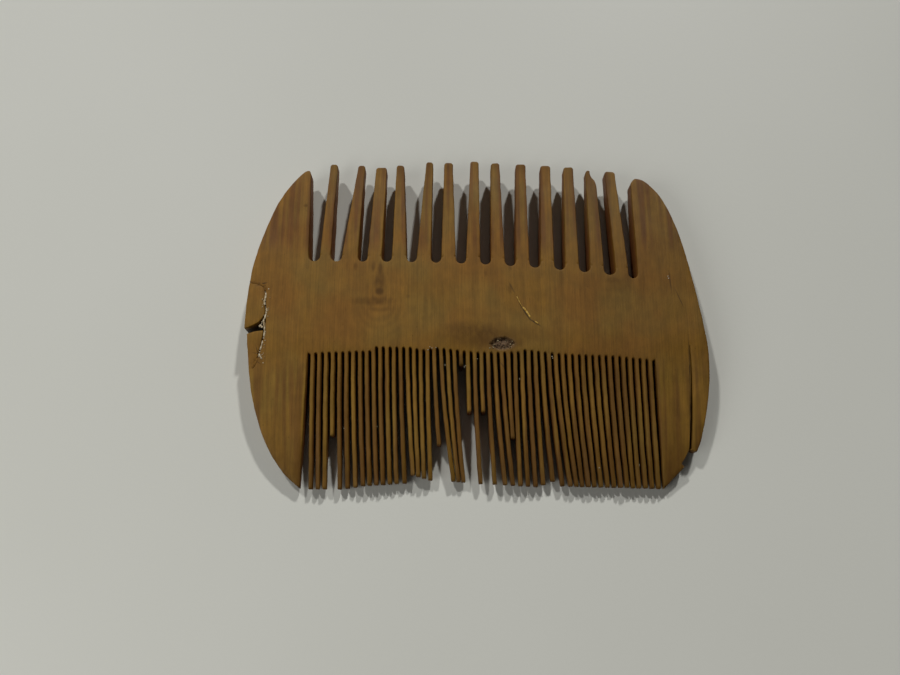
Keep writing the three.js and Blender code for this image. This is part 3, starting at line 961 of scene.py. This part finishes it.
# Runs of the adhesive along the left crack, from the upper fragment downwards.
BEAD_RUNS = (
    ((-36.9, 4.0), (-36.95, 3.1), (-37.1, 2.2), (-37.0, 1.6)),
    ((-36.75, 1.1), (-36.55, 0.6), (-36.7, 0.1), (-36.75, -0.5), (-37.1, -1.2)),
    ((-37.05, -1.0), (-36.95, -1.9), (-36.75, -2.7), (-36.8, -4.2)),
    ((-37.0, -4.9), (-37.15, -5.6), (-37.4, -6.5)),
    ((-37.6, -7.0), (-37.3, -7.6), (-37.0, -8.1)),
)
# Larger grains: place, half size, how high the middle stands above the wood.
BEAD_LUMPS = [(-37.6, -2.1, 0.28, 0.0), (-37.3, -2.3, 0.22, 0.0), (-37.0, 1.9, 0.26, 0.05)]
KNOT_LUMPS = [
    (3.8, -4.75, 0.17, 0.12), (3.2, -5.45, 0.2, 0.1), (6.0, -5.35, 0.18, 0.12),
    (5.9, -5.95, 0.15, 0.05), (3.0, -6.0, 0.16, 0.05), (2.4, -6.1, 0.14, 0.0),
]
# Pale dust caught on the fine teeth, at their roots and on the right guard.
DUST = (
    (-22.65, -19.8), (-17.0, -19.5), (13.2, -7.5), (13.3, -7.8), (-8.0, -5.9), (-7.6, -6.1),
    (-5.35, -9.0), (0.25, -7.9), (7.55, -11.4), (20.95, -26.4), (27.85, -25.9), (-8.3, -6.4),
    (34.1, 7.0), (34.2, 6.6), (-6.9, -6.0), (-2.0, -9.3), (-1.8, -9.1),
)
# The ends of the left crack are packed with old dirt, and hardly show.
JOINTS = (
    ((-39.9, 5.98), (-38.4, 5.74), (-37.1, 5.12), (-36.98, 4.2)),
    ((-38.7, -9.6), (-38.0, -8.4), (-37.7, -7.8)),
)
# A plant fibre in three lengths: name, path, half width, how high it stands.
FIBRES = (
    ("fibre_tail", ((7.25, 3.3), (7.7, 2.2), (8.2, 1.3)), 0.07, 0.08),
    ("fibre_blade", ((8.25, 1.35), (8.9, 0.5), (9.6, -0.7)), 0.17, 0.1),
    ("fibre_end", ((10.3, -1.3), (10.9, -1.75)), 0.12, 0.1),
)


def beside_the_runs(chance):
    """Grains of adhesive beside its runs, its lumps, and a spill at its lower end."""
    spots = []
    for run in BEAD_RUNS:
        for _ in range(9):
            x, y = chance.choice(run)
            x, y = x + chance.gauss(0, 0.28), y + chance.gauss(0, 0.4)
            spots.append((x, y, chance.uniform(0.05, 0.13), 0.02))
    spill = [(-38.0 + 0.17 * i, -7.0 - 0.12 * ((5 * i) % 7), 0.07, 0.02) for i in range(9)]
    return spots + BEAD_LUMPS + spill


def in_the_knot(chance):
    """Grains over the hollow of the open knot."""
    spots = list(KNOT_LUMPS)
    for _ in range(20):
        turn, reach = chance.uniform(0, 2 * math.pi), chance.uniform(0.2, 1.0) ** 0.5
        x = OPEN_KNOT[0] + 2.0 * reach * math.cos(turn)
        y = OPEN_KNOT[1] + reach * math.sin(turn)
        spots.append((x, y, chance.uniform(0.04, 0.1), 0.03))
    return spots


def dress_wood():
    """Lays the adhesive, grains, dust, packed dirt and fibre on the wood."""
    for number, run in enumerate(BEAD_RUNS, 1):
        name = f"adhesive_run_{number}"
        bead = strand(name, run, 0.15, 0.12, 0.9, BEAD, ragged=0.5)
        if number == 1:
            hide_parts(FILL_NODE)
    chance = random.Random(41)
    crumbs("adhesive_grains", beside_the_runs(chance), BEAD)
    crumbs("knot_grains", in_the_knot(chance), DULL_GRIT)
    dust = [(x, y, chance.uniform(0.07, 0.12), 0.02) for x, y in DUST]
    crumbs("dust_grains", dust, GRIT)
    for number, joint in enumerate(JOINTS, 1):
        name = f"packed_joint_{number}"
        strand(name, joint, 0.24, 0.05, 0.8, PACKED_DIRT, ragged=0.15)
    for name, path, half_width, above in FIBRES:
        strand(name, path, half_width, above, 0.1, FIBRE)


dress_wood()


# ---- the stage: table, lights and camera ----
FLOOR_HALF = 1500.0
LAMP_SIZE = 0.3
# The camera looks almost straight down, from the fine teeth's side.
CAMERA_PLAN = (-4.5, -42.95)
CAMERA_ABOVE_COMB = 142.4
CAMERA_TILT = math.radians(15.2)


def make_floor():
    half = FLOOR_HALF
    z = LOW[2]
    corners = [(-half, -half, z), (half, -half, z), (half, half, z), (-half, half, z)]
    mesh = bpy.data.meshes.new("table_top")
    mesh.from_pydata([Vector(c) * MM for c in corners], [], [(0, 1, 2, 3)])
    mesh.materials.append(make_table())
    floor = bpy.data.objects.new("table_top", mesh)
    bpy.context.scene.collection.objects.link(floor)


def make_lamp(name, direction, distance, power):
    """A soft lamp that stands in that direction from the comb and looks at it; in metres."""
    light = bpy.data.lights.new(name, "AREA")
    light.shape = "DISK"
    light.size = LAMP_SIZE
    light.energy = power
    lamp = bpy.data.objects.new(name, light)
    lamp.location = Vector(direction).normalized() * distance
    lamp.rotation_euler = Vector(direction).to_track_quat("Z", "Y").to_euler()
    bpy.context.scene.collection.objects.link(lamp)


def make_sky(colour, strength):
    world = bpy.data.worlds.new("soft_room")
    world.use_nodes = True
    background = world.node_tree.nodes["Background"]
    background.inputs["Color"].default_value = colour
    background.inputs["Strength"].default_value = strength
    bpy.context.scene.world = world


def make_camera():
    camera = bpy.data.cameras.new("camera")
    camera.sensor_width = 36
    camera.lens = 34
    camera.clip_start = 0.005
    seen = bpy.data.objects.new("camera", camera)
    seen.location = Vector((*CAMERA_PLAN, HIGH[2] + CAMERA_ABOVE_COMB)) * MM
    seen.rotation_euler = (CAMERA_TILT, 0, 0)
    bpy.context.scene.collection.objects.link(seen)
    bpy.context.scene.camera = seen


make_floor()
make_lamp("lamp_behind_right", (0.46, 1.36, 1), 5.0, 116.0)
make_lamp("lamp_behind_left", (-0.58, 0.95, 1), 5.0, 80.0)
make_lamp("fill_front_left", (-0.9, -0.5, 0.8), 0.4, 0.45)
make_sky((1, 0.98, 0.94, 1), 0.036)
make_camera()
bpy.context.scene.view_settings.view_transform = "Standard"
